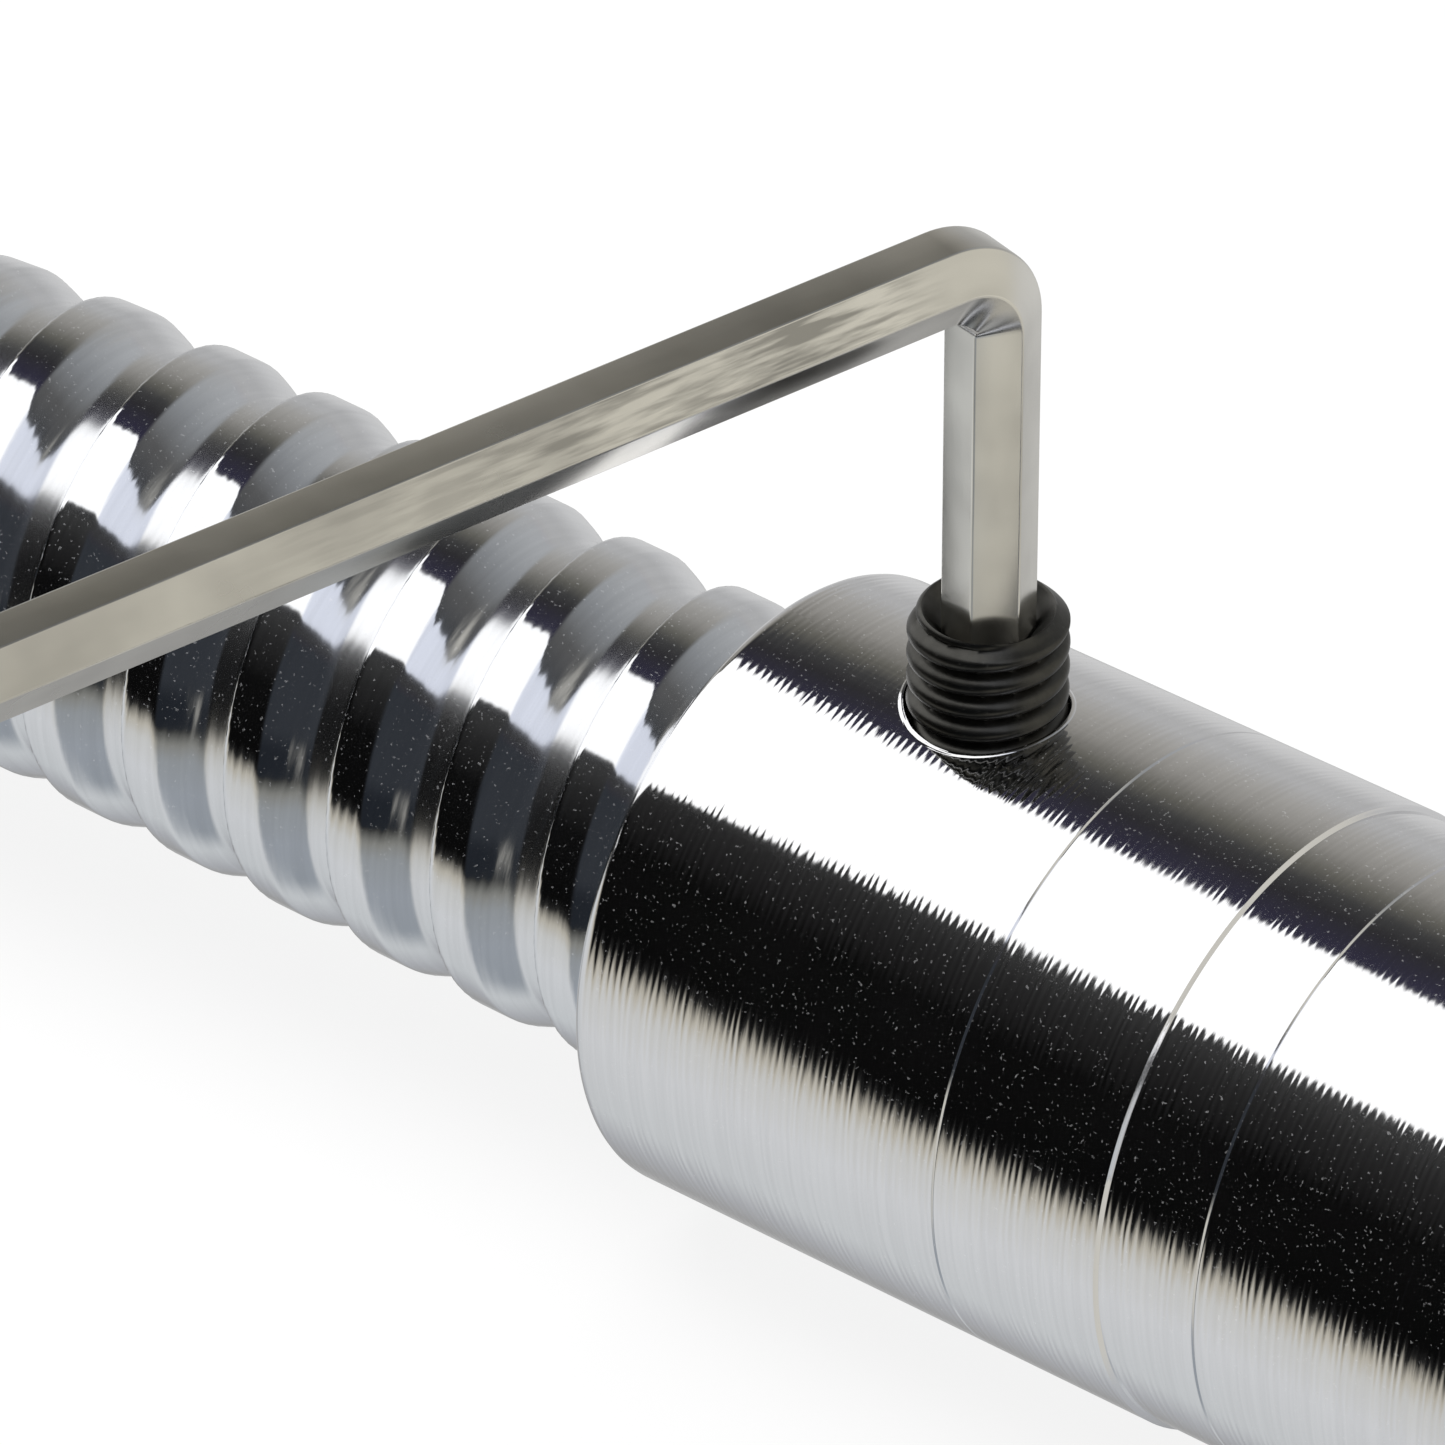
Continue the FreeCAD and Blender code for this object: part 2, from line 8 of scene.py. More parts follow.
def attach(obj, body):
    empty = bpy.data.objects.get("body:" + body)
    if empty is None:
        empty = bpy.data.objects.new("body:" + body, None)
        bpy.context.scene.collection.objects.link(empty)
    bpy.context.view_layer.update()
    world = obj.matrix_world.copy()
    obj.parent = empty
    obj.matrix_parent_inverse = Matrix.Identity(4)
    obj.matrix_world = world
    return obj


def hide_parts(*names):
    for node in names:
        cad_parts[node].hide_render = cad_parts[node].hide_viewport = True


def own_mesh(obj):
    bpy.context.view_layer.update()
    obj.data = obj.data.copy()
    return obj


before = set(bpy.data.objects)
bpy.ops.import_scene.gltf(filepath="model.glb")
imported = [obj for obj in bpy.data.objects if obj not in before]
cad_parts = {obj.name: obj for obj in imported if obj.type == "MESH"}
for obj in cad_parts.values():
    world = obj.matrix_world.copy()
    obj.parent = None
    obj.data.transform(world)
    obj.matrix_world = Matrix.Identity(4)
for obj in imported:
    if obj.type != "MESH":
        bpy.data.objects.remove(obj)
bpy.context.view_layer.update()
bpy.context.scene.view_settings.view_transform = "Standard"
MM, MICRON = 0.001, 0.000001
TURN = 2 * math.pi

# Measures that several pieces share, in millimetres
AXIS_Z = 6.0  # the height of the barrel's axis
BARREL_RAD = 6.0
RIM, FRONT = -33.25, -1.25  # the barrel's ends, at the sheath and at the finger plate
HOSE_LEAD = 0.5  # from the barrel's rim to the start of the sheath's route
HOSE_END = RIM - HOSE_LEAD
SCREW_X = -28.45
KEY_ANGLE = math.radians(-104.3)  # the way of the key's long arm, round the set screw's axis


# Camera: the photograph's angle, from a fit to the barrel's outlines
def make_camera():
    azimuth, elevation = math.radians(38.8), math.radians(35.0)
    distance = 226.2 * MM
    focal, size = 12500.0, 1445.0  # in the photograph's pixels
    seen_x, seen_y = 983.5, 972.0  # where the photograph shows the target
    sensor = 36.0
    target = Vector((SCREW_X, 0, AXIS_Z)) * MM
    level = math.cos(elevation)
    back = Vector((math.sin(azimuth) * level, -math.cos(azimuth) * level, math.sin(elevation)))
    right = Vector((math.cos(azimuth), math.sin(azimuth), 0))
    up = back.cross(right)
    across = (seen_x - size / 2) / focal * distance
    rise = (size / 2 - seen_y) / focal * distance
    place = target + back * distance - right * across - up * rise
    camera = bpy.data.objects.new("camera", bpy.data.cameras.new("camera"))
    bpy.context.collection.objects.link(camera)
    camera.matrix_world = Matrix((
        (right.x, up.x, back.x, place.x),
        (right.y, up.y, back.y, place.y),
        (right.z, up.z, back.z, place.z),
        (0, 0, 0, 1),
    ))
    camera.data.sensor_width = sensor
    camera.data.lens = focal / size * sensor
    camera.data.clip_start = 0.01
    bpy.context.scene.camera = camera


# Node helpers
def put(tree, kind, inputs=None, **settings):
    """A node with its settings and its inputs: a value, or the socket that feeds it."""
    node = tree.nodes.new(kind)
    for name, value in settings.items():
        setattr(node, name, value)
    for name, value in (inputs or {}).items():
        if isinstance(value, bpy.types.NodeSocket):
            tree.links.new(value, node.inputs[name])
        else:
            node.inputs[name].default_value = value
    return node


def sums(tree, operation, *values):
    return put(tree, "ShaderNodeMath", dict(enumerate(values)), operation=operation).outputs[0]


def smooth(tree, value, low, high):
    """Zero up to low and one from high, with a soft step between them."""
    node = put(tree, "ShaderNodeMapRange", {0: value, 1: low, 2: high}, interpolation_type="SMOOTHSTEP")
    return node.outputs[0]


def held(tree, value, reach):
    """A value kept between minus the reach and the reach."""
    return put(tree, "ShaderNodeClamp", {0: value, 1: -reach, 2: reach}).outputs[0]


def ramp(tree, value, stops):
    """A colour ramp from (place, grey or colour) stops."""
    node = put(tree, "ShaderNodeValToRGB", {"Fac": value})
    points = node.color_ramp.elements
    for k, (place, colour) in enumerate(stops):
        point = points[k] if k < 2 else points.new(place)
        point.position = place
        point.color = (*colour, 1) if isinstance(colour, tuple) else (colour, colour, colour, 1)
    return node.outputs["Color"]


def blend(tree, share, under, over, how="MIX"):
    return put(tree, "ShaderNodeMixRGB", {0: share, 1: under, 2: over}, blend_type=how).outputs[0]


def noise(tree, where, scale, detail):
    node = put(tree, "ShaderNodeTexNoise", {"Vector": where, "Scale": scale, "Detail": detail})
    return node.outputs["Fac"]


def mixed(tree, share, first, second):
    return put(tree, "ShaderNodeMixShader", {0: share, 1: first.outputs[0], 2: second.outputs[0]})


# World: white to the camera, a studio to metal, and soft and even to everything else
BANDS = [
    (-180, 0.45), (-165, 0.58), (-150, 0.62), (-118, 0.34), (-101, (0.42, 0.43, 0.45)),
    (-84, (0.57, 0.59, 0.6)), (-48, (0.64, 0.65, 0.66)), (-30, (0.6, 0.6, 0.58)), (-22, (0.5, 0.47, 0.4)),
    (-14, 0.015), (-9, 0.003), (25, 0.003), (45, 0.02), (56, 0.04), (105, (0.03, 0.028, 0.05)),
    (118, (0.028, 0.027, 0.03)), (126, 0.05), (134, (0.13, 0.126, 0.11)), (146, (0.28, 0.27, 0.25)),
    (158, (0.37, 0.36, 0.34)), (172, 0.45),
]  # the studio's colours by the angle round the barrel's axis, in degrees


def studio_round(tree, x, y, z):
    """The bands, askew near the mouth of the barrel, and a haze at the side of the button."""
    skew_from, skew_reach, skew_slope = 0.513, 0.14, 0.55
    dim, shadow = (0.03, 0.034, 0.041, 1), (0.5, 0.53, 0.57, 1)
    turn = sums(tree, "ARCTAN2", z, sums(tree, "MULTIPLY", y, -1.0))
    skew = sums(tree, "MULTIPLY", held(tree, sums(tree, "ADD", x, skew_from), skew_reach), skew_slope)
    share = sums(tree, "ADD", sums(tree, "DIVIDE", sums(tree, "ADD", turn, skew), TURN), 0.5)
    stops = [((angle + 180) / 360, colour) for angle, colour in BANDS]
    bands = ramp(tree, sums(tree, "FRACT", share), stops)
    beside = smooth(tree, x, -0.35, 0.05)
    behind = smooth(tree, y, -0.3, 0.3)
    over = ramp(tree, y, [(0.25, 0.1), (0.6, (0.25, 0.26, 0.27)), (0.92, (0.41, 0.42, 0.43))])
    bands = blend(tree, beside, bands, blend(tree, behind, dim, over), "LIGHTEN")
    under = sums(tree, "MULTIPLY", smooth(tree, y, 0.0, -0.3), smooth(tree, z, 0.1, -0.1))
    return blend(tree, sums(tree, "MULTIPLY", beside, under), bands, shadow, "MULTIPLY")


def box_overhead(tree, x, y, z):
    """The share of a box on a plane at a height of one, with a level near edge and a slanted far one."""
    lowest, cut_off = 0.02, 0.04
    near_edge, far_edge, slant = 0.715, 0.08, -0.33
    bend_from, bend_reach, near_bend, far_bend = 0.733, 0.15, 0.37, 0.4
    height = sums(tree, "MAXIMUM", z, lowest)
    across, away = sums(tree, "DIVIDE", x, height), sums(tree, "DIVIDE", y, height)
    bend = held(tree, sums(tree, "ADD", across, bend_from), bend_reach)
    near = sums(tree, "ADD", away, near_edge)
    near = sums(tree, "SUBTRACT", near, sums(tree, "MULTIPLY", bend, near_bend))
    far = sums(tree, "SUBTRACT", away, far_edge)
    far = sums(tree, "SUBTRACT", sums(tree, "MULTIPLY", across, slant), far)
    far = sums(tree, "SUBTRACT", far, sums(tree, "MULTIPLY", bend, far_bend))
    box = smooth(tree, sums(tree, "MINIMUM", near, far), -0.01, 0.025)
    return sums(tree, "MULTIPLY", box, sums(tree, "GREATER_THAN", z, cut_off))


def make_world():
    """The studio stands still round the object, whatever the camera's angle."""
    bright, bluish, daylight = (1.2, 1.2, 1.2, 1), (0.74, 0.77, 0.86, 1), (0.6, 0.583, 0.53, 1)
    world = bpy.data.worlds.new("studio")
    bpy.context.scene.world = world
    world.use_nodes = True
    tree = world.node_tree
    tree.nodes.clear()
    way = put(tree, "ShaderNodeTexCoord").outputs["Generated"]
    x, y, z = put(tree, "ShaderNodeSeparateXYZ", {0: way}).outputs
    cloth = blend(tree, smooth(tree, x, -0.1, 0.25), bright, bluish)
    studio = blend(tree, box_overhead(tree, x, y, z), studio_round(tree, x, y, z), cloth)
    aside = sums(tree, "MAXIMUM", smooth(tree, z, 0.05, -0.15), smooth(tree, y, -0.3, 0.0))
    window = sums(tree, "MULTIPLY", smooth(tree, x, 0.45, 0.65), aside)
    studio = blend(tree, window, studio, daylight)
    shine = put(tree, "ShaderNodeBackground", {"Color": studio, "Strength": 1.0})
    even = put(tree, "ShaderNodeBackground", {"Color": (1, 1, 1, 1), "Strength": 0.55})
    white = put(tree, "ShaderNodeBackground", {"Color": (1, 1, 1, 1), "Strength": 1.0})
    light = put(tree, "ShaderNodeLightPath")
    lit = mixed(tree, light.outputs["Is Glossy Ray"], even, shine)
    seen = mixed(tree, light.outputs["Is Camera Ray"], lit, white)
    put(tree, "ShaderNodeOutputWorld", {"Surface": seen.outputs[0]})


def make_lamp():
    lamp = bpy.data.lights.new("overhead", "AREA")
    lamp.shape = "RECTANGLE"
    lamp.size, lamp.size_y = 0.5, 0.4
    lamp.energy = 3.2
    thing = bpy.data.objects.new("overhead", lamp)
    thing.location = (-0.15, -0.09, 0.55)
    lit_place = Vector((-0.03, 0, 0))
    thing.rotation_euler = (Vector(thing.location) - lit_place).to_track_quat("Z", "Y").to_euler()
    thing.visible_glossy = False
    bpy.context.collection.objects.link(thing)


def make_floor():
    """Pale paper that takes the shadow, brightened where the camera sees it."""
    half, sunk, paper_grey, glow_share = 1.5, 0.00005, 0.9, 0.85
    mesh = bpy.data.meshes.new("floor")
    corners = [(-half, -half, 0), (half, -half, 0), (half, half, 0), (-half, half, 0)]
    mesh.from_pydata(corners, [], [(0, 1, 2, 3)])
    floor = bpy.data.objects.new("floor", mesh)
    bpy.context.collection.objects.link(floor)
    floor.location.z = -sunk
    floor.visible_glossy = False
    made = bpy.data.materials.new("floor")
    made.use_nodes = True
    tree = made.node_tree
    tree.nodes.clear()
    paper = put(tree, "ShaderNodeBsdfDiffuse", {"Color": (paper_grey, paper_grey, paper_grey, 1)})
    glow = put(tree, "ShaderNodeEmission", {"Color": (1, 1, 1, 1), "Strength": 1.0})
    light = put(tree, "ShaderNodeLightPath")
    bright = mixed(tree, glow_share, paper, glow)
    seen = mixed(tree, light.outputs["Is Camera Ray"], paper, bright)
    put(tree, "ShaderNodeOutputMaterial", {"Surface": seen.outputs[0]})
    mesh.materials.append(made)


# Materials
CLOUD, FINE, GRIT = 420.0, 5200.0, 15000.0  # noise scales, to the metre


def metal(
        name, colour, rough, bump, depth,
        tint=0.0, dust=0.0, soft_where=None, streak=None, metallic=1.0):
    """A plated or bare metal, or a plastic where metallic is zero.

    bump returns a height from the tree and the UV socket, and depth is its size in micrometres.
    soft_where returns the share of extra roughness, and streak a pattern whose low values darken the
    colour by tint. dust is how much less metallic the specks are.
    """
    extra_rough = 0.13
    made = bpy.data.materials.new(name)
    made.use_nodes = True
    tree = made.node_tree
    tree.nodes.clear()
    spots = put(tree, "ShaderNodeTexCoord").outputs["Object"]
    grid = put(tree, "ShaderNodeTexCoord").outputs["UV"]
    roughness = ramp(tree, noise(tree, spots, CLOUD, 4.0), [(0.3, rough * 0.8), (0.75, rough * 1.35)])
    if soft_where:
        extra = sums(tree, "MULTIPLY", soft_where(tree, grid), extra_rough)
        roughness = sums(tree, "ADD", roughness, extra)
    pattern = streak(tree, grid) if streak else noise(tree, spots, FINE, 2.0)
    shade = ramp(tree, pattern, [(0.38, tuple(c * (1 - tint) for c in colour)), (0.6, colour)])
    if dust:
        metallic = ramp(tree, noise(tree, spots, GRIT, 1.0), [(0.68, metallic), (0.74, metallic - dust)])
    height = bump(tree, grid)
    rise = put(tree, "ShaderNodeBump", {"Height": height, "Strength": 1.0, "Distance": depth * MICRON})
    body = put(tree, "ShaderNodeBsdfPrincipled", {
        "Base Color": shade, "Metallic": metallic, "Roughness": roughness, "Normal": rise.outputs[0]})
    put(tree, "ShaderNodeOutputMaterial", {"Surface": body.outputs[0]})
    return made


# Patterns. In the UV of a piece, u runs from 0 to 1 round it and v along it in millimetres
def split(tree, grid):
    u, v, _ = put(tree, "ShaderNodeSeparateXYZ", {0: grid}).outputs
    return u, v


def stretched(tree, grid, by_u, by_v):
    u, v = split(tree, grid)
    return put(tree, "ShaderNodeCombineXYZ", {
        0: sums(tree, "MULTIPLY", u, by_u), 1: sums(tree, "MULTIPLY", v, by_v)}).outputs[0]


def turning(pitch):
    """Rings left by a turning tool, a pitch apart in millimetres, that wander and fade."""
    wander, shallow, uneven, rough = 14.0, 0.25, 2.6, 1.1

    def height(tree, grid):
        v = split(tree, grid)[1]
        place = stretched(tree, grid, 5.0, 1.0)
        slow = noise(tree, place, 1.7, 2.0)
        quick = noise(tree, place, 11.0, 3.0)
        bent = sums(tree, "MULTIPLY", v, TURN / pitch)
        bent = sums(tree, "ADD", bent, sums(tree, "MULTIPLY", slow, wander))
        swell = sums(tree, "MULTIPLY", sums(tree, "SUBTRACT", slow, shallow), uneven)
        wave = sums(tree, "MULTIPLY", sums(tree, "SINE", bent), swell)
        return sums(tree, "ADD", wave, sums(tree, "MULTIPLY", quick, rough))
    return height


def rings(scale):
    """Fine light and dark rings."""
    def pattern(tree, grid):
        return noise(tree, stretched(tree, grid, 0.6, 1.0), scale, 2.0)
    return pattern


def drawn(scale):
    """Streaks along a piece, finer as the scale grows."""
    def height(tree, grid):
        return noise(tree, stretched(tree, grid, 1.0, 0.01), scale, 3.0)
    return height


def streaks_and_painted_reflection(tree, grid):
    """Streaks along the key, long duller patches, and a painted dark reflection in blotches on one facet
    past its bend.
    """
    # dark is how much the painted dark reflection darkens its facet
    line_share, patch_share, least, dark = 0.19, 0.355, 0.273, 0.21
    facet, facet_half = 0.317, 0.035
    u, v = split(tree, grid)
    lines = sums(tree, "MULTIPLY", drawn(16.0)(tree, grid), line_share)
    patches = noise(tree, stretched(tree, grid, 3.0, 0.16), 1.6, 3.0)
    patches = sums(tree, "MULTIPLY", patches, patch_share)
    dull = sums(tree, "ADD", sums(tree, "ADD", lines, patches), least)
    # Painted dark reflection: blotches darken the colour of one facet from just past the bend, standing
    # in for the dark studio that facet reflects
    zone = sums(tree, "MULTIPLY", smooth(tree, v, 10.4, 12.5), smooth(tree, v, 27.0, 13.0))
    zone = sums(tree, "MULTIPLY", zone, sums(tree, "COMPARE", u, facet, facet_half))
    painted_dark_reflection = smooth(tree, noise(tree, stretched(tree, grid, 48.0, 0.18), 3.0, 3.0), 0.36, 0.66)
    painted_dark_reflection = sums(tree, "MULTIPLY", painted_dark_reflection, sums(tree, "MULTIPLY", zone, dark))
    return sums(tree, "SUBTRACT", dull, painted_dark_reflection)


def valleys(tree, grid):
    """One in the sheath's valleys and less on the ribs' flanks, from the same spiral as the ribs."""
    u, v = split(tree, grid)
    along = sums(tree, "SUBTRACT", RIB_START - HOSE_LEAD, v)
    spiral = sums(tree, "SUBTRACT", along, sums(tree, "MULTIPLY", u, RIB_PITCH))
    share = sums(tree, "FRACT", sums(tree, "DIVIDE", spiral, RIB_PITCH))
    return ramp(tree, share, [
        (0.0, 0.0), (0.36, 0.0), (0.42, 0.15), (0.64, 0.3), (0.7, 1.0), (0.94, 1.0), (0.97, 0.0)])


def pitted(scale):
    """Small pits and bumps, scale to the metre."""
    def height(tree, grid):
        spots = put(tree, "ShaderNodeTexCoord").outputs["Object"]
        return noise(tree, spots, scale, 4.0)
    return height


# Mesh helpers: every mesh is worked out in millimetres
def add_mesh(name, rows, material, sharp=35.0, wrap_v=False):
    """A skin over rows of (points, v), each a closed ring. wrap_v joins the last row to the first."""
    merge_within = 0.0025 * MM
    points, faces, grid = [], [], []
    count = len(rows[0][0])
    for ring, _ in rows:
        points += [tuple(c * MM for c in p) for p in ring]
    steps = len(rows) if wrap_v else len(rows) - 1
    for j in range(steps):
        j_on = (j + 1) % len(rows)
        v, v_on = rows[j][1], rows[j_on][1]
        for i in range(count):
            i_on = (i + 1) % count
            faces.append((j * count + i, j * count + i_on, j_on * count + i_on, j_on * count + i))
            grid += [(i / count, v), ((i + 1) / count, v), ((i + 1) / count, v_on), (i / count, v_on)]
    mesh = bpy.data.meshes.new(name)
    mesh.from_pydata(points, [], faces)
    layer = mesh.uv_layers.new(name="UVMap")
    for loop, uv in zip(layer.data, grid):
        loop.uv = uv
    shape = bmesh.new()
    shape.from_mesh(mesh)
    bmesh.ops.remove_doubles(shape, verts=shape.verts, dist=merge_within)
    bmesh.ops.delete(shape, geom=[edge for edge in shape.edges if not edge.link_faces], context="EDGES")
    if shape.calc_volume(signed=True) < 0:
        bmesh.ops.reverse_faces(shape, faces=shape.faces)
    shape.to_mesh(mesh)
    shape.free()
    mesh.materials.append(material)
    mesh.validate()
    mesh.shade_smooth()
    mesh.set_sharp_from_angle(angle=math.radians(sharp))
    thing = bpy.data.objects.new(name, mesh)
    bpy.context.collection.objects.link(thing)
    return thing


def dress(piece, body, slot, *nodes):
    """The body that a piece rides on, its slot, which is not used, and the CAD nodes that it replaces."""
    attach(piece, body)
    if nodes:
        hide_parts(*nodes)


def rounded(points, steps=6):
    """An outline of (along, radius) with its corners rounded: a third number is the corner's radius."""
    out = []
    last = len(points)
    for k, point in enumerate(points):
        here = Vector(point[:2])
        if len(point) < 3:
            out.append(here)
            continue
        before, after = Vector(points[k - 1][:2]), Vector(points[(k + 1) % last][:2])
        to, on = (before - here).normalized(), (after - here).normalized()
        half = to.angle(on) / 2
        reach = point[2] / math.tan(half)
        centre = here + (to + on).normalized() * (point[2] / math.sin(half))
        first, final = here + to * reach - centre, here + on * reach - centre
        sweep = first.angle_signed(final)
        for s in range(steps + 1):
            angle = sweep * s / steps
            cosine, sine = math.cos(-angle), math.sin(-angle)
            turned = (first.x * cosine - first.y * sine, first.x * sine + first.y * cosine)
            out.append(centre + Vector(turned))
    return out


def straight(x_from, x_to, radius, radius_to=None, steps=12):
    """Points along a straight side of an outline, for a shape to work on."""
    end = radius if radius_to is None else radius_to
    points = []
    for k in range(steps + 1):
        points.append((x_from + (x_to - x_from) * k / steps, radius + (end - radius) * k / steps))
    return points


def ribbed_edge(teeth, depth, low, high, over):
    """Straight knurling on a turned piece from low to high, where it is wider than over."""
    run_out = 0.3

    def shape(along, radius, angle):
        if radius > over and low < along < high:
            fade = min((along - low) / run_out, (high - along) / run_out, 1.0)
            return radius - depth * fade * abs((angle / TURN * teeth) % 1.0 - 0.5) * 2
        return radius
    return shape


def lathe(
        name, outline, material, origin=(0, 0, AXIS_Z), way=(1, 0, 0),
        count=160, sharp=35.0, shape=None, start=0.0):
    """A turned piece about the way from the origin. shape alters the outline's radius at an angle."""
    least_rad = 0.001  # of the rings on the axis, which are merged to a point
    axis = Vector(way).normalized()
    side = Vector((0, 0, 1)) - axis * axis.z
    side = side.normalized() if side.length > 1e-6 else Vector((1, 0, 0))
    other = axis.cross(side)
    foot = Vector(origin)
    rows, v = [], 0.0
    for k, (along, radius) in enumerate(outline + outline[:1]):
        if k:
            v += (Vector((along, radius)) - Vector(outline[k - 1])).length
        ring = []
        for i in range(count):
            angle = start + TURN * i / count
            r = max(radius, least_rad)
            if shape:
                r = shape(along, r, angle)
            place = foot + axis * along + side * (r * math.cos(angle))
            ring.append(place + other * (r * math.sin(angle)))
        rows.append((ring, v))
    return add_mesh(name, rows, material, sharp=sharp)


def drill(piece, x, radius, foot, top, sharp=35.0):
    """Cuts an upright round hole into a piece, from the foot to the top."""
    middle = Matrix.Translation(Vector((x, 0, (foot + top) / 2)) * MM)
    shape = bmesh.new()
    bmesh.ops.create_cone(
        shape, cap_ends=True, segments=96, radius1=radius * MM, radius2=radius * MM,
        depth=(top - foot) * MM, matrix=middle, calc_uvs=False)
    mesh = bpy.data.meshes.new("cutter")
    shape.to_mesh(mesh)
    shape.free()
    mesh.shade_smooth()
    cutter = bpy.data.objects.new("cutter", mesh)
    bpy.context.collection.objects.link(cutter)
    cut = piece.modifiers.new("hole", "BOOLEAN")
    cut.object = cutter
    cut.operation = "DIFFERENCE"
    cut.solver = "EXACT"
    bpy.context.view_layer.update()
    done = bpy.data.meshes.new_from_object(piece.evaluated_get(bpy.context.evaluated_depsgraph_get()))
    piece.modifiers.remove(cut)
    bpy.data.objects.remove(cutter)
    bpy.data.meshes.remove(mesh)
    piece.data = done
    done.set_sharp_from_angle(angle=math.radians(sharp))


# Sheath: the route as one smooth curve, and a thin tube along it with ribs in a spiral
ROUTE = [
    (0.0, 0.0, 6.0), (-9.0, -0.55, 6.64), (-20.0, -1.22, 7.4), (-33.3, -3.6, 6.1), (-50.1, -9.2, 4.65),
    (-65.1, -18.1, 6.0),
]
HOSE_RAD, HOSE_BORE, RIB_PITCH, RIB_DEPTH = 4.5, 3.9, 2.357, 0.4
RIB_START = 3.13 + RIB_PITCH * 48 / 360  # the spiral's place, read at 48 degrees over the sheath's back
RIB = [
    (0.0, -0.035), (0.012, -0.008), (0.03, 0.0), (0.33, 0.0), (0.36, -0.012), (0.39, -0.04),
    (0.46, -0.105), (0.54, -0.19), (0.62, -0.295), (0.67, -0.365), (0.7, -0.395), (0.725, -0.4),
    (0.915, -0.4), (0.94, -0.385), (0.96, -0.3), (0.985, -0.1), (1.0, -0.035),
]  # the rise over HOSE_RAD by the share of a pitch


def route_curve():
    """Points along the route, in millimetres."""
    curve = bpy.data.curves.new("route", "CURVE")
    curve.dimensions = "3D"
    line = curve.splines.new("NURBS")
    line.points.add(len(ROUTE) - 1)
    for point, (x, y, z) in zip(line.points, ROUTE):
        point.co = ((HOSE_END + x) * MM, y * MM, z * MM, 1)
    line.order_u = 3
    line.use_endpoint_u = True
    line.resolution_u = 60
    thing = bpy.data.objects.new("route", curve)
    bpy.context.collection.objects.link(thing)
    mesh = bpy.data.meshes.new_from_object(thing)
    points = [v.co / MM for v in mesh.vertices]
    bpy.data.objects.remove(thing)
    bpy.data.meshes.remove(mesh)
    return points


def height_at(table, share):
    for (a, low), (b, high) in zip(table, table[1:]):
        if share <= b:
            return low + (high - low) * (share - a) / (b - a)
    return table[-1][1]


def ride_along(points, distances):
    """Points, ways and steady cross axes at distances along a line of points."""
    lengths = [0.0]
    for a, b in zip(points, points[1:]):
        lengths.append(lengths[-1] + (b - a).length)
    out, k, across = [], 0, Vector((0, 1, 0))
    for d in distances:
        while k < len(points) - 2 and lengths[k + 1] < d:
            k += 1
        share = (d - lengths[k]) / (lengths[k + 1] - lengths[k])
        way = (points[k + 1] - points[k]).normalized()
        across = (across - way * across.dot(way)).normalized()
        out.append((points[k].lerp(points[k + 1], share), way, across))
    return out


def make_hose(points, material):
    """The tube: rows along its ribbed outside, and back along its plain bore."""
    count, steps_to_rib, bore_step = 96, 48, 12
    low_start, plain_end = 0.6, 8.5  # the stretches in the sheath collar and in the ferrule
    length = sum((b - a).length for a, b in zip(points, points[1:]))
    steps = int(length / RIB_PITCH * steps_to_rib)
    distances = [length * k / steps for k in range(steps + 1)]
    frames = list(zip(distances, ride_along(points, distances)))
    turns = [TURN * i / count for i in range(count)]
    rows = []
    for d, (point, way, across) in frames:
        up = across.cross(way)
        ring = []
        for turn in turns:
            phase = (RIB_START - HOSE_LEAD - d - RIB_PITCH * turn / TURN) / RIB_PITCH % 1.0
            rise = 0.0 if d > length - plain_end else height_at(RIB, phase)
            if d < low_start:
                rise = min(rise, -RIB_DEPTH)
            r = HOSE_RAD + rise
            ring.append(point + across * (r * math.cos(turn)) + up * (r * math.sin(turn)))
        rows.append((ring, d))
    for d, (point, way, across) in frames[::-bore_step]:
        up = across.cross(way)
        ring = [point + (across * math.cos(turn) + up * math.sin(turn)) * HOSE_BORE for turn in turns]
        rows.append((ring, d))
    return add_mesh("sheath", rows, material, sharp=50.0, wrap_v=True)


make_camera()
make_world()
make_lamp()
make_floor()

barrel_chrome = metal(
    "barrel_chrome", (0.92, 0.92, 0.93), rough=0.06, bump=turning(0.16), depth=1.5,
    tint=0.045, dust=0.14, streak=rings(9.0))
hose_chrome = metal(
    "hose_chrome", (0.9, 0.91, 0.93), rough=0.07, bump=turning(0.24), depth=0.9,
    tint=0.05, dust=0.14, soft_where=valleys, streak=rings(7.0))
fitting_chrome = metal(
    "fitting_chrome", (0.88, 0.88, 0.89), rough=0.1, bump=turning(0.16), depth=0.8, tint=0.05)
bright_steel = metal(
    "bright_steel", (0.72, 0.72, 0.73), rough=0.18, bump=turning(0.12), depth=1.2, tint=0.1)
spring_steel = metal(
    "spring_steel", (0.55, 0.55, 0.56), rough=0.22, bump=drawn(9.0), depth=2.0, tint=0.1)
brass = metal(
    "brass", (0.83, 0.62, 0.3), rough=0.2, bump=turning(0.15), depth=1.0, tint=0.12)
# The key's streak pattern also paints a dark reflection on one facet past the bend
key_nickel = metal(
    "key_nickel", (0.94, 0.92, 0.86), rough=0.22, bump=drawn(30.0), depth=2.0, tint=0.55, streak=streaks_and_painted_reflection)
black_oxide = metal(
    "black_oxide", (0.085, 0.083, 0.076), rough=0.33, bump=pitted(9000.0), depth=1.2, tint=0.12, dust=0.2)
nylon = metal(
    "liner_nylon", (0.85, 0.84, 0.8), rough=0.5, bump=pitted(3000.0), depth=2.0, metallic=0.0)

route = route_curve()
hose = make_hose(route, hose_chrome)
dress(hose, "barrel", "hose_chrome", "armoured_hose")

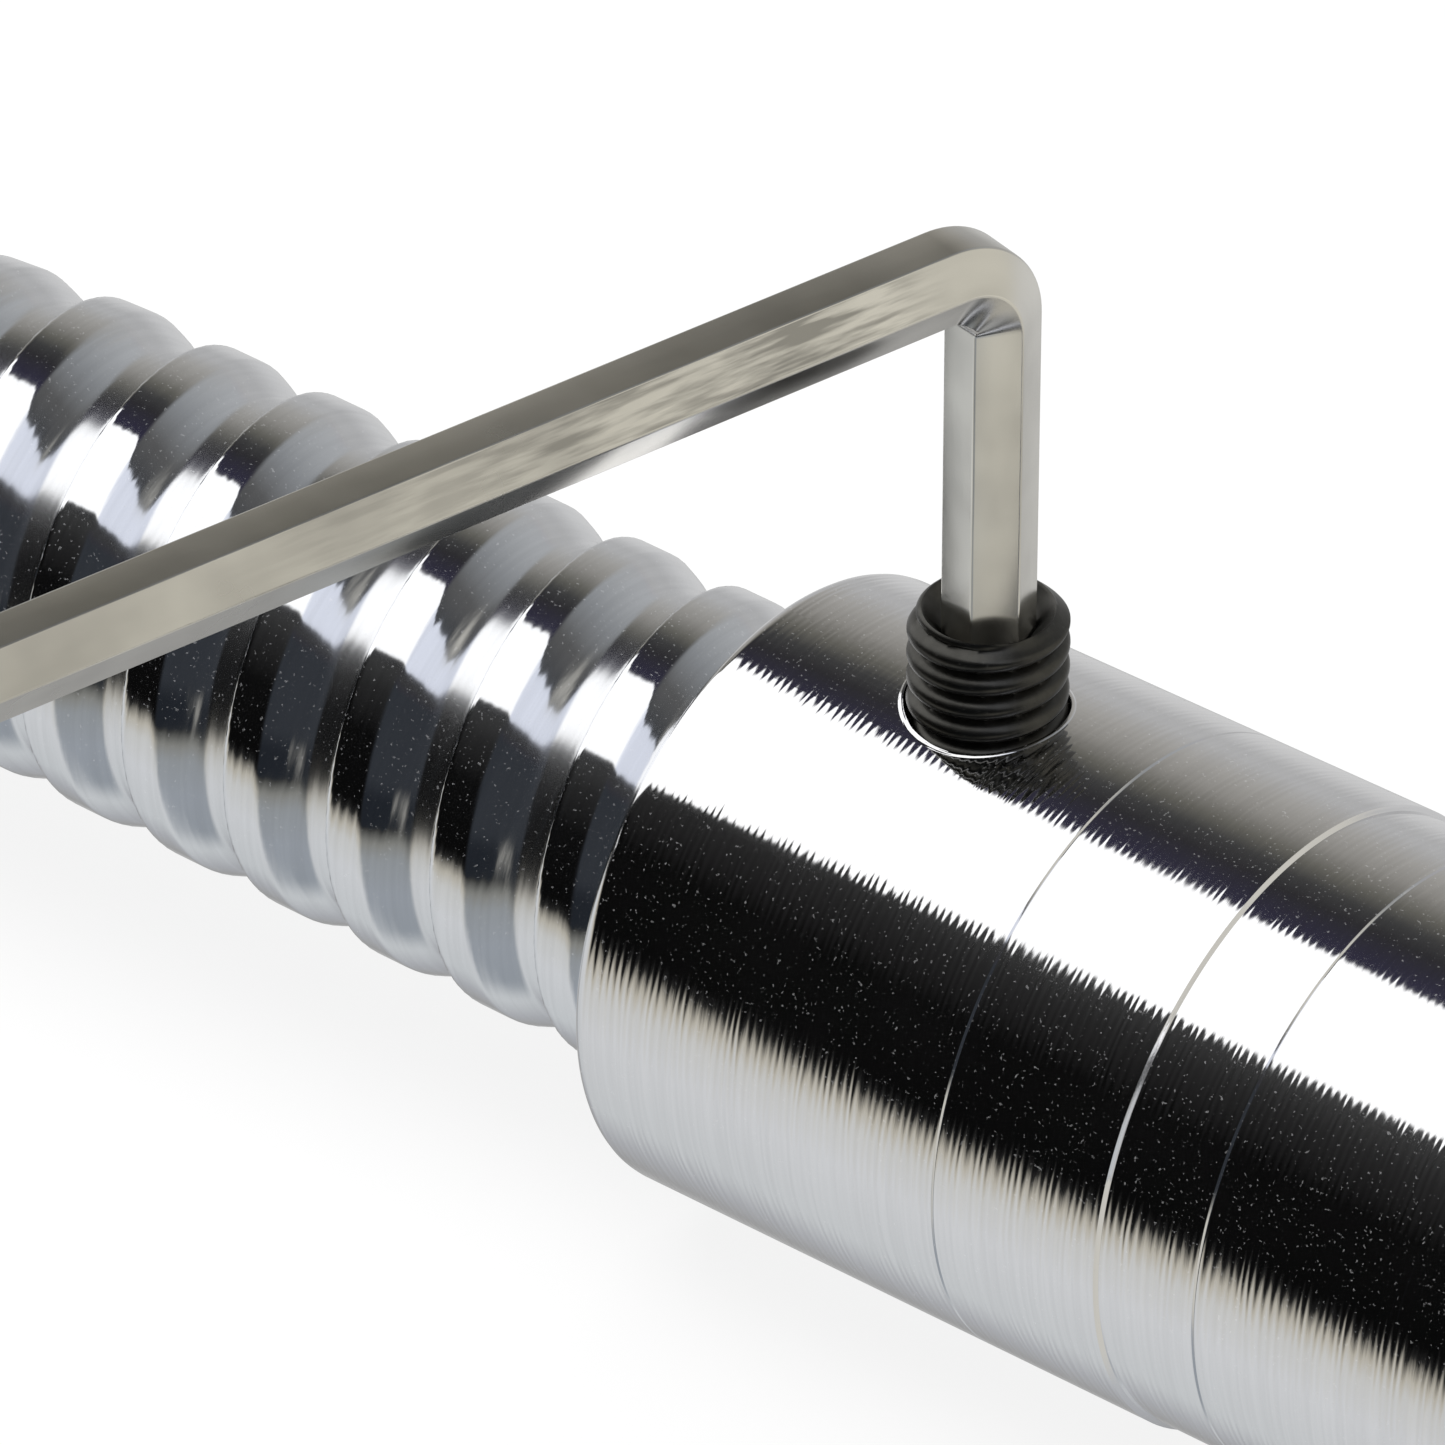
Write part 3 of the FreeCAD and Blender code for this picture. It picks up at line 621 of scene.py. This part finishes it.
# Barrel: outside with its ring lines and its step, bore, and the hole that the set screw goes through
barrel = lathe("barrel_skin", rounded([
    (RIM, 4.6, 0.12), (RIM, 6.0, 0.35), (RIM + 8.28, 6.0), (RIM + 8.31, 5.975), (RIM + 8.34, 6.0),
    (RIM + 11.88, 6.0), (RIM + 11.93, 5.91), (RIM + 13.97, 5.91), (RIM + 14.0, 5.885),
    (RIM + 14.03, 5.91), (FRONT, 5.91, 0.2), (FRONT, 3.7), (FRONT - 16.25, 3.7), (FRONT - 16.25, 1.1),
    (RIM + 12.5, 1.1), (RIM + 12.5, 4.6),
]), barrel_chrome, count=256)
drill(barrel, SCREW_X, radius=1.58, foot=10.0, top=13.0)
dress(barrel, "barrel", "barrel_chrome", "barrel")


# Lip of bright metal that the drill pushed up round the screw hole
def make_lip(material):
    """A profile of (radius, rise over the barrel), uneven round the hole and high on one side."""
    profile = [(1.5, -0.2), (1.5, 0.01), (1.51, 0.035), (1.545, 0.035), (1.585, 0.01), (1.62, -0.03)]
    waves = [(2, 0.3, 0.6), (7, 0.12, 0.0), (17, 0.06, 1.0)]  # their number in a turn, height and offset
    middle, tilt, high_side = 0.62, 0.38, 0.3
    count, rows = 120, []
    for k, (radius, rise) in enumerate(profile):
        ring = []
        for i in range(count):
            angle = TURN * i / count
            uneven = 1.0
            for number, high, offset in waves:
                uneven += high * math.sin(number * angle + offset)
            uneven *= middle - tilt * math.cos(angle - high_side)
            x, y = radius * math.cos(angle), radius * math.sin(angle)
            lift = rise * uneven if rise > 0 else rise
            ring.append((SCREW_X + x, y, AXIS_Z + math.sqrt(BARREL_RAD ** 2 - y * y) + lift))
        rows.append((ring, k * 0.1))
    return add_mesh("screw_hole_lip", rows, material, sharp=60.0, wrap_v=True)


dress(make_lip(barrel_chrome), "barrel", "barrel_chrome")


# Set screw: thread, countersink and hexagon socket
def make_screw(material):
    foot, top, pitch, depth, sharpness = 10.6, 14.0, 0.5, 0.27, 2.2
    crest, point_rad, sink_rad, sink = 1.46, 1.2, 0.98, 0.3
    socket, socket_foot = 1.56, foot + 1.0  # the hexagon's width across flats and its floor
    foot_run, top_run, drop, least_cut = 0.3, 0.22, 0.22, 0.25  # how the thread runs out at its ends
    thread_over, socket_from, socket_to, sixth = 1.3, 0.775, 0.79, math.radians(60)
    steps = 96
    outline = [(foot, 0.0), (foot, point_rad)]
    outline += [(foot + (top - foot) * k / steps, crest) for k in range(steps + 1)]
    outline += [(top + 0.02, point_rad), (top - 0.02, 1.15), (top - sink, sink_rad)]
    outline += [(top - 0.45, socket / 2 + 0.001), (socket_foot, socket / 2)]
    outline += [(socket_foot, 0.3), (socket_foot, 0.0)]

    def shape(along, radius, angle):
        if radius > thread_over:
            share = (along / pitch - angle / TURN) % 1.0
            wave = abs(share - 0.5) * 2
            end = min((along - foot) / foot_run, (top - along) / top_run, 1.0)
            return radius - depth * wave ** sharpness * max(end, least_cut) - drop * (1 - max(end, 0.0))
        if socket_from < radius < socket_to:
            flat = (angle - KEY_ANGLE + sixth / 2) % sixth - sixth / 2
            return socket / 2 / math.cos(flat)
        return radius
    return lathe("socket_screw", outline, material, origin=(SCREW_X, 0, 0), way=(0, 0, 1),
                 count=144, sharp=40.0, shape=shape, start=KEY_ANGLE)


dress(make_screw(black_oxide), "set_screw", "black_oxide", "set_screw")


# Hex key: a hexagon with softened corners, swept round its bend
def make_key(material):
    across, soft, bend, foot, axis, reach = 1.5, 0.07, 1.2, 11.7, 21.4, 44.25
    bevel, end_bevel, small, pressed_most = 0.1, 0.12, 0.86, 0.9
    short_steps, bend_steps, long_steps = 6, 24, 20
    out = Vector((math.cos(KEY_ANGLE), math.sin(KEY_ANGLE), 0))
    side, up = Vector((-out.y, out.x, 0)), Vector((0, 0, 1))
    start = Vector((SCREW_X, 0, 0))
    middle = across / math.sqrt(3) - soft * 2 / math.sqrt(3)
    section = []
    for k in range(6):
        turn = math.radians(30 + 60 * k)
        for step in range(-2, 3):
            tilt = turn + math.radians(15 * step)
            a = middle * math.cos(turn) + soft * math.cos(tilt)
            b = middle * math.sin(turn) + soft * math.sin(tilt)
            section.append((a, b))
    stops = []

    def stop(place, inward, length, size=1.0, pressed=0.0):
        """A section of the key at a place, its inner side wider where it is pressed."""
        ring = []
        for a, b in section:
            wide = 1 + pressed * max(a, 0.0) / across
            ring.append(place + inward * (a * size) + side * (b * size * wide))
        stops.append((ring, length))

    def on_short(height):
        return start + up * height

    def on_long(distance):
        return start + out * distance + up * axis

    stop(on_short(foot), out, 0.0, 0.0)
    stop(on_short(foot), out, 0.1, small)
    stop(on_short(foot + bevel), out, 0.2)
    short = axis - bend - foot
    for k in range(1, short_steps):
        height = foot + bevel + (short - bevel) * k / short_steps
        stop(on_short(height), out, short * k / short_steps + 0.2)
    centre = start + out * bend + up * (axis - bend)
    for k in range(bend_steps + 1):
        turn = math.pi / 2 * k / bend_steps
        inward = out * math.cos(turn) - up * math.sin(turn)
        pressed = pressed_most * math.sin(2 * turn) ** 2
        stop(centre - inward * bend, inward, short + bend * turn, pressed=pressed)
    done = short + bend * math.pi / 2
    for k in range(1, long_steps + 1):
        along = bend + (reach - end_bevel - bend) * k / long_steps
        stop(on_long(along), -up, done + along - bend)
    stop(on_long(reach), -up, done + reach, small)
    stop(on_long(reach), -up, done + reach + 0.2, 0.0)
    return add_mesh("key", stops, material, sharp=70.0)


key = make_key(key_nickel)
key.visible_glossy = False  # its reflection would lie in the white band, where the photograph shows none
dress(key, "hex_key", "key_nickel", "hex_key")

# Sheath collar, of which only the neck shows
neck = lathe("sheath_collar", rounded([
    (-40.75, 2.03), (-40.75, 2.97), (-33.75, 2.97), (-33.75, 4.15, 0.1), (-32.35, 4.15, 0.1),
    (-32.35, 4.57, 0.1), (-20.77, 4.57), (-20.77, 0.8), (-30.85, 0.8), (-30.85, 2.03),
]), hose_chrome)
drill(neck, SCREW_X, radius=1.71, foot=8.16, top=12.0)
dress(neck, "barrel", "fitting_chrome", "hose_collar")


# Finger plate: a round-ended plate with soft edges, and a round hole
def make_plate(material):
    half, soft, bore, end_rad, end_y = 1.25, 0.6, 3.7, 6.0, 6.0
    count, steps, rows = 192, 6, []
    angles = [TURN * (i + 0.5) / count for i in range(count)]

    def row(x, inset, v):
        ring = []
        for angle in angles:
            shift = end_y if math.cos(angle) > 0 else -end_y
            r = end_rad - inset
            ring.append((x, shift + r * math.cos(angle), AXIS_Z + r * math.sin(angle)))
        rows.append((ring, v))

    def hole(x, v):
        ring = [(x, bore * math.cos(angle), AXIS_Z + bore * math.sin(angle)) for angle in angles]
        rows.append((ring, v))

    hole(-half, 0.0)
    row(-half, soft + 1.0, 3.0)
    for k in range(steps + 1):
        turn = math.pi / 2 * k / steps
        row(-half + soft * (1 - math.cos(turn)), soft * (1 - math.sin(turn)), 4.0 + k * 0.15)
    for k in range(steps + 1):
        turn = math.pi / 2 * k / steps
        row(half - soft * (1 - math.sin(turn)), soft * (1 - math.cos(turn)), 7.0 + k * 0.15)
    row(half, soft + 1.0, 9.0)
    hole(half, 12.0)
    hole(-half, 15.0)
    return add_mesh("finger_plate_skin", rows, material, sharp=50.0)


dress(make_plate(fitting_chrome), "barrel", "fitting_chrome", "finger_plate")
washer = lathe("washer_skin", rounded([
    (1.25, 3.7), (1.25, 4.8, 0.1), (1.65, 4.8, 0.1), (1.65, 3.7),
]), bright_steel)
dress(washer, "barrel", "bright_steel", "plate_washer")

# Rear bush, and the plunger with its hollow-faced button
bush = lathe("rear_bush", rounded(
    [(-5.25, 2.3), (-5.25, 3.67), (1.65, 3.67), (1.65, 5.2, 0.2)] + straight(1.95, 3.15, 5.2)
    + [(3.45, 5.2, 0.28), (3.45, 2.75, 0.1), (3.25, 2.3)]),
    fitting_chrome, count=288, shape=ribbed_edge(48, 0.16, 1.95, 3.15, 5.0))
dress(bush, "barrel", "fitting_chrome", "guide_bush")
rod = lathe("rod", rounded([
    (-8.47, 0.78), (-8.47, 2.25, 0.15), (14.15, 2.25), (14.15, 0.0), (-4.47, 0.0), (-4.47, 0.78),
]), bright_steel)
dress(rod, "plunger", "bright_steel", "plunger_rod")


def make_button(material):
    face, hollow, hollow_rad, groove = 16.55, 0.6, 4.5, 0.05
    radii = (4.5, 4.2, 3.9, 3.6, 3.3, 3.0, 2.6, 2.2, 1.8, 1.4, 1.0, 0.5, 0.0)
    grooved = (3.9, 3.0, 1.8)
    dish = []
    for r in radii:
        along = face - hollow * (1 - (r / hollow_rad) ** 2)
        dish.append((along - groove if r in grooved else along, r))
    outline = [(11.95, 2.27), (11.95, 3.3, 0.25), (13.55, 3.3, 0.5), (13.55, 5.5, 0.7)]
    outline += straight(14.4, 15.7, 5.5) + [(face, 5.5, 0.7)] + dish + [(14.17, 0.0), (14.17, 2.27)]
    return lathe("button", rounded(outline), material,
                 count=288, sharp=40.0, shape=ribbed_edge(60, 0.12, 14.4, 15.7, 5.3))


dress(make_button(fitting_chrome), "plunger", "fitting_chrome", "thumb_button")


# Return spring, with a closed turn at each end
def make_spring(material):
    wire, coil, turns, close = 0.3, 3.0, 7, 0.62
    start, end, stroke = -18.73, -6.49, 8
    steps, count, rows = 40, 12, []
    pitch = (end - start - 2 * wire - 2 * close) / (turns - 2)
    for k in range(turns * steps + 1):
        turn = k / steps
        along = start + wire + close * min(turn, 1) + pitch * min(max(turn - 1, 0), turns - 2)
        along += close * max(turn - turns + 1, 0)
        out = Vector((0, math.cos(TURN * turn), math.sin(TURN * turn)))
        place = Vector((along, 0, AXIS_Z)) + out * coil
        thick = 0.0 if k in (0, turns * steps) else wire
        ring = []
        for i in range(count):
            angle = TURN * i / count
            ring.append(place + out * (thick * math.cos(angle)) + Vector((thick * math.sin(angle), 0, 0)))
        rows.append((ring, coil * TURN * turn))
    spring = add_mesh("coil_spring", rows, material, sharp=50.0)
    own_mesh(spring)
    return spring


dress(make_spring(spring_steel), "barrel", "spring_steel", "return_spring")

# Camera end, about the last run of the route
TIP = Vector((HOSE_END + ROUTE[-1][0], ROUTE[-1][1], ROUTE[-1][2]))
TIP_WAY = (Vector(ROUTE[-1]) - Vector(ROUTE[-2])).normalized()
ferrule = lathe("ferrule", rounded([
    (-9.5, 4.53), (-9.5, 5.2, 0.3), (-8.4, 5.2), (-8.1, 5.02, 0.1), (-7.8, 5.2), (-6.6, 5.2),
    (-6.3, 5.02, 0.1), (-6.0, 5.2), (3.0, 5.2, 0.5), (5.2, 3.5, 0.3), (5.2, 1.9), (6.6, 1.9), (6.6, 2.25),
    (8.8, 2.25), (8.8, 1.62), (1.5, 1.62), (1.5, 2.03), (0.02, 2.03), (0.02, 4.53),
]), fitting_chrome, origin=TIP, way=TIP_WAY, count=128)
dress(ferrule, "barrel", "fitting_chrome", "tip_ferrule")


def make_tip(material):
    """The knurled collar and the tapered thread."""
    foot, end, pitch, depth, run_out, thread_over = 10.5, 15.9, 0.6, 0.24, 0.4, 1.5
    knurl = ribbed_edge(40, 0.16, 5.7, 9.5, 3.3)

    def shape(along, radius, angle):
        if along > foot and radius > thread_over:
            share = (along / pitch - angle / TURN) % 1.0
            full = min((along - foot) / run_out, (end - along) / run_out, 1.0)
            return radius - (depth * abs(share - 0.5) * 2 * full + depth * (1 - full))
        return knurl(along, radius, angle)
    outline = [(5.3, 1.95), (5.3, 3.8, 0.3)] + straight(5.7, 9.5, 3.8, steps=16)
    outline += [(9.9, 3.8, 0.3), (9.9, 1.6), (foot, 1.6)] + straight(10.51, end, 1.85, 1.55, 110)
    outline += [(end, 1.1), (8.9, 1.1), (8.9, 2.3), (6.5, 2.3), (6.5, 1.95)]
    return lathe("screw_tip", rounded(outline), material, origin=TIP, way=TIP_WAY,
                 count=240, sharp=45.0, shape=shape)


tip = make_tip(fitting_chrome)
dress(tip, "threaded_tip", "fitting_chrome", "threaded_tip")
pin = lathe("pin", rounded([
    (-9.3, 0.0), (-9.3, 0.75, 0.1), (15.5, 0.75, 0.3), (15.5, 0.0),
]), spring_steel, origin=TIP, way=TIP_WAY, count=64)
dress(pin, "release_pin", "spring_steel", "release_pin")

# The pieces inside, which stay as they are
inside = {
    "spring_seat": brass, "clamp_pad": brass, "pin_guide": brass,
    "plunger_wire": spring_steel, "core_wire": spring_steel, "inner_liner": nylon,
}
for node, material in inside.items():
    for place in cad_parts[node].material_slots:
        place.material = material
